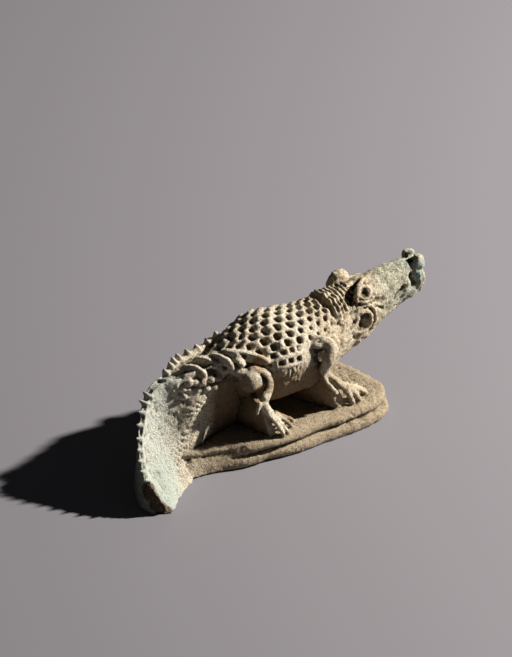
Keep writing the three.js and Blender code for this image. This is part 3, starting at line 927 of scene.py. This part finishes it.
class Finish:
    """A material and its nodes."""

    def __init__(self, name):
        self.material = bpy.data.materials.new(name)
        self.material.use_nodes = True
        self.tree = self.material.node_tree
        self.surface = self.tree.nodes["Principled BSDF"]

    def node(self, kind, settings, inputs, output=0):
        """Adds a node of a kind, sets it, and gives its sockets values or wires."""
        made = self.tree.nodes.new("ShaderNode" + kind)
        for name, value in settings.items():
            setattr(made, name, value)
        self.feed(made, inputs)
        return Wire(self, made.outputs[output])

    def feed(self, made, inputs):
        """Gives the sockets of a node that is made their values or wires."""
        for name, value in inputs.items():
            if isinstance(value, Wire):
                self.tree.links.new(value.socket, made.inputs[name])
            else:
                made.inputs[name].default_value = value

    def rise(self, value, low, high):
        """0 up to low and 1 from high, smooth between them."""
        settings = {"interpolation_type": "SMOOTHSTEP", "clamp": True}
        return self.node("MapRange", settings, {0: value, 1: low, 2: high, 3: 0.0, 4: 1.0})

    def blend(self, factor, first, second):
        """The first colour where factor is 0, the second where it is 1."""
        settings = {"data_type": "RGBA", "clamp_factor": True}
        return self.node("Mix", settings, {0: factor, 6: first, 7: second}, output=2)

    def noise(self, spots, scale, detail, roughness):
        """Random values round 0.5 that change about as many times in a metre as scale says."""
        inputs = {"Vector": spots, "Scale": scale, "Detail": detail, "Roughness": roughness}
        return self.node("TexNoise", {}, inputs)


# The colours of the clay, of the glaze left on it, of the earth in it and of painted shade. Places
# are in metres.
cream = (0.56, 0.50, 0.39, 1)
tan = (0.38, 0.30, 0.19, 1)
sandy = (0.27, 0.225, 0.16, 1)
pale_green = (0.40, 0.415, 0.365, 1)
grey_green = (0.24, 0.31, 0.26, 1)
teal = (0.16, 0.33, 0.34, 1)
# Umber, for the pores and for painted shade under the belly
umber_pores_and_shade = (0.17, 0.098, 0.034, 1)
# Earth, for the grain and the specks, and as painted shade with earth in the hollows
earth_and_shade_brown = (0.07, 0.048, 0.025, 1)
broken_brown = (0.08, 0.045, 0.025, 1)
rust = (0.30, 0.16, 0.05, 1)
stain_place = (-0.0094, -0.0066, 0.0284)

worn = Finish("worn glazed ceramic")
spots = worn.node("TexCoord", {}, {}, output="Object")
along = worn.node("SeparateXYZ", {}, {0: spots}, output="X")
across = worn.node("SeparateXYZ", {}, {0: spots}, output="Y")
height = worn.node("SeparateXYZ", {}, {0: spots}, output="Z")
hollow_part = worn.node("Attribute", {"attribute_name": "hollow"}, {}, output="Fac")
broken_part = worn.node("Attribute", {"attribute_name": "broken"}, {}, output="Fac")
broad = worn.noise(spots, 160, 3.0, 0.6)
mottle = worn.noise(spots, 520, 4.0, 0.65)
pores = worn.noise(spots, 1200, 3.0, 0.7)
specks = worn.noise(spots, 2200, 2.0, 0.6)
grain = worn.noise(spots, 2600, 3.0, 0.75)

# Cream where the glaze has worn off, tan in patches
colour = worn.blend(worn.rise(mottle, 0.45, 0.72) * 0.8, cream, tan)

# Painted shade: umber darkens the belly and the walls under it, where the body shades them; and a
# rust stain by the haunch
inner = 1 - worn.rise(abs(across - middle_shift * millimetre), 0.0122, 0.0134)
painted_shade_low = 1 - worn.rise(height + 0.008 * (broad - 0.5), 0.0205, 0.028)
painted_shade_low = painted_shade_low * worn.rise(along, -0.023, -0.019) * (1 - worn.rise(along, 0.012, 0.018))
colour = worn.blend(inner * painted_shade_low * 0.85, colour, umber_pores_and_shade)
stain = worn.node("VectorMath", {"operation": "DISTANCE"}, {0: spots, 1: stain_place}, "Value")
stain_part = 1 - worn.rise(stain + 0.002 * (mottle - 0.5), 0.0012, 0.0031)
colour = worn.blend(stain_part * 0.8, colour, rust)

# More tan on the head
head_part = worn.rise(along + 0.01 * (broad - 0.5), 0.008, 0.014)
colour = worn.blend(head_part * (0.25 + 0.5 * worn.rise(mottle, 0.35, 0.6)), colour, tan)

# Green glaze is left on the tail and the snout, and teal in patches at the snout's tip
tail_part = 1 - worn.rise(along - 0.28 * height + 0.008 * (broad - 0.5), -0.041, -0.032)
colour = worn.blend(tail_part * (0.7 + 0.3 * worn.rise(mottle, 0.65, 0.4)), colour, pale_green)
low_tail = tail_part * (1 - worn.rise(height + 0.01 * (broad - 0.5), 0.004, 0.016))
colour = worn.blend(low_tail * 0.4, colour, grey_green)
snout_part = worn.rise(along + 0.02 * (broad - 0.5), 0.030, 0.042)
colour = worn.blend(snout_part * worn.rise(mottle, 0.25, 0.6) * 0.75, colour, grey_green)
teal_part = worn.rise(along, 0.036, 0.042) * worn.rise(broad, 0.56, 0.66) * 0.7
colour = worn.blend(teal_part, colour, teal)

# The plinth is bare and sandy
plinth_part = 1 - worn.rise(height + 0.001 * (mottle - 0.5), 0.0074, 0.0086)
plinth_part = plinth_part * worn.rise(along, -0.036, -0.024)
sand_colour = worn.blend(worn.rise(grain, 0.38, 0.62), sandy, tan)
colour = worn.blend(plinth_part, colour, sand_colour)

# Earth sits in the grain and the pores, earth and painted shade darken the hollows, and the break
# is brown
colour = worn.blend(worn.rise(specks, 0.52, 0.66) * (0.7 - 0.45 * tail_part), colour, earth_and_shade_brown)
colour = worn.blend(worn.rise(grain, 0.52, 0.66) * (0.5 - 0.3 * tail_part), colour, earth_and_shade_brown)
colour = worn.blend(worn.rise(pores, 0.55, 0.68) * (0.2 + 0.5 * head_part), colour, umber_pores_and_shade)
# Painted shade, with earth, in the hollows
colour = worn.blend(worn.rise(hollow_part, 0.03, 0.22) * 0.92, colour, earth_and_shade_brown)
colour = worn.blend(broken_part * worn.rise(grain, 0.25, 0.5), colour, broken_brown)

shine = 0.72 + 0.25 * worn.rise(grain, 0.3, 0.7)
rough_skin = grain * 0.6 + specks * 0.4 - pores * head_part * 0.5
relief = worn.node("Bump", {}, {"Strength": 1.0, "Distance": 0.0008, "Height": rough_skin})
worn.feed(worn.surface, {
    "Base Color": colour, "Roughness": shine, "Normal": relief, "Specular IOR Level": 0.3,
})
body.data.materials.append(worn.material)


# Studio
# A plain floor, one small main light low ahead of the animal and a little to its right, and a
# faint even surround.
floor_size = 3
floor_colour = (0.17, 0.162, 0.178, 1)
floor_mesh = bmesh.new()
bmesh.ops.create_grid(floor_mesh, x_segments=1, y_segments=1, size=floor_size / 2)
floor = bpy.data.objects.new("floor", bpy.data.meshes.new("floor"))
floor_mesh.to_mesh(floor.data)
floor_mesh.free()
bpy.context.scene.collection.objects.link(floor)
pale = Finish("pale floor")
pale.feed(pale.surface, {"Base Color": floor_colour, "Roughness": 0.6})
floor.data.materials.append(pale.material)

light_distance = 0.9
main_light = bpy.data.objects.new("main light", bpy.data.lights.new("main light", "AREA"))
main_light.data.shape = "DISK"
main_light.data.size = 0.04
main_light.data.energy = 27.5
main_light.data.color = (1, 0.96, 0.9)
towards_light = Vector((0.789, -0.312, 0.53)).normalized()
main_light.location = aim + towards_light * light_distance
main_light.rotation_mode = "QUATERNION"
main_light.rotation_quaternion = (-towards_light).to_track_quat("-Z", "Y")
bpy.context.scene.collection.objects.link(main_light)

surround = bpy.data.worlds.new("surround")
surround.use_nodes = True
backdrop = surround.node_tree.nodes["Background"]
backdrop.inputs["Color"].default_value = (0.9, 0.93, 1, 1)
backdrop.inputs["Strength"].default_value = 0.03
bpy.context.scene.world = surround
bpy.context.scene.view_settings.view_transform = "Standard"
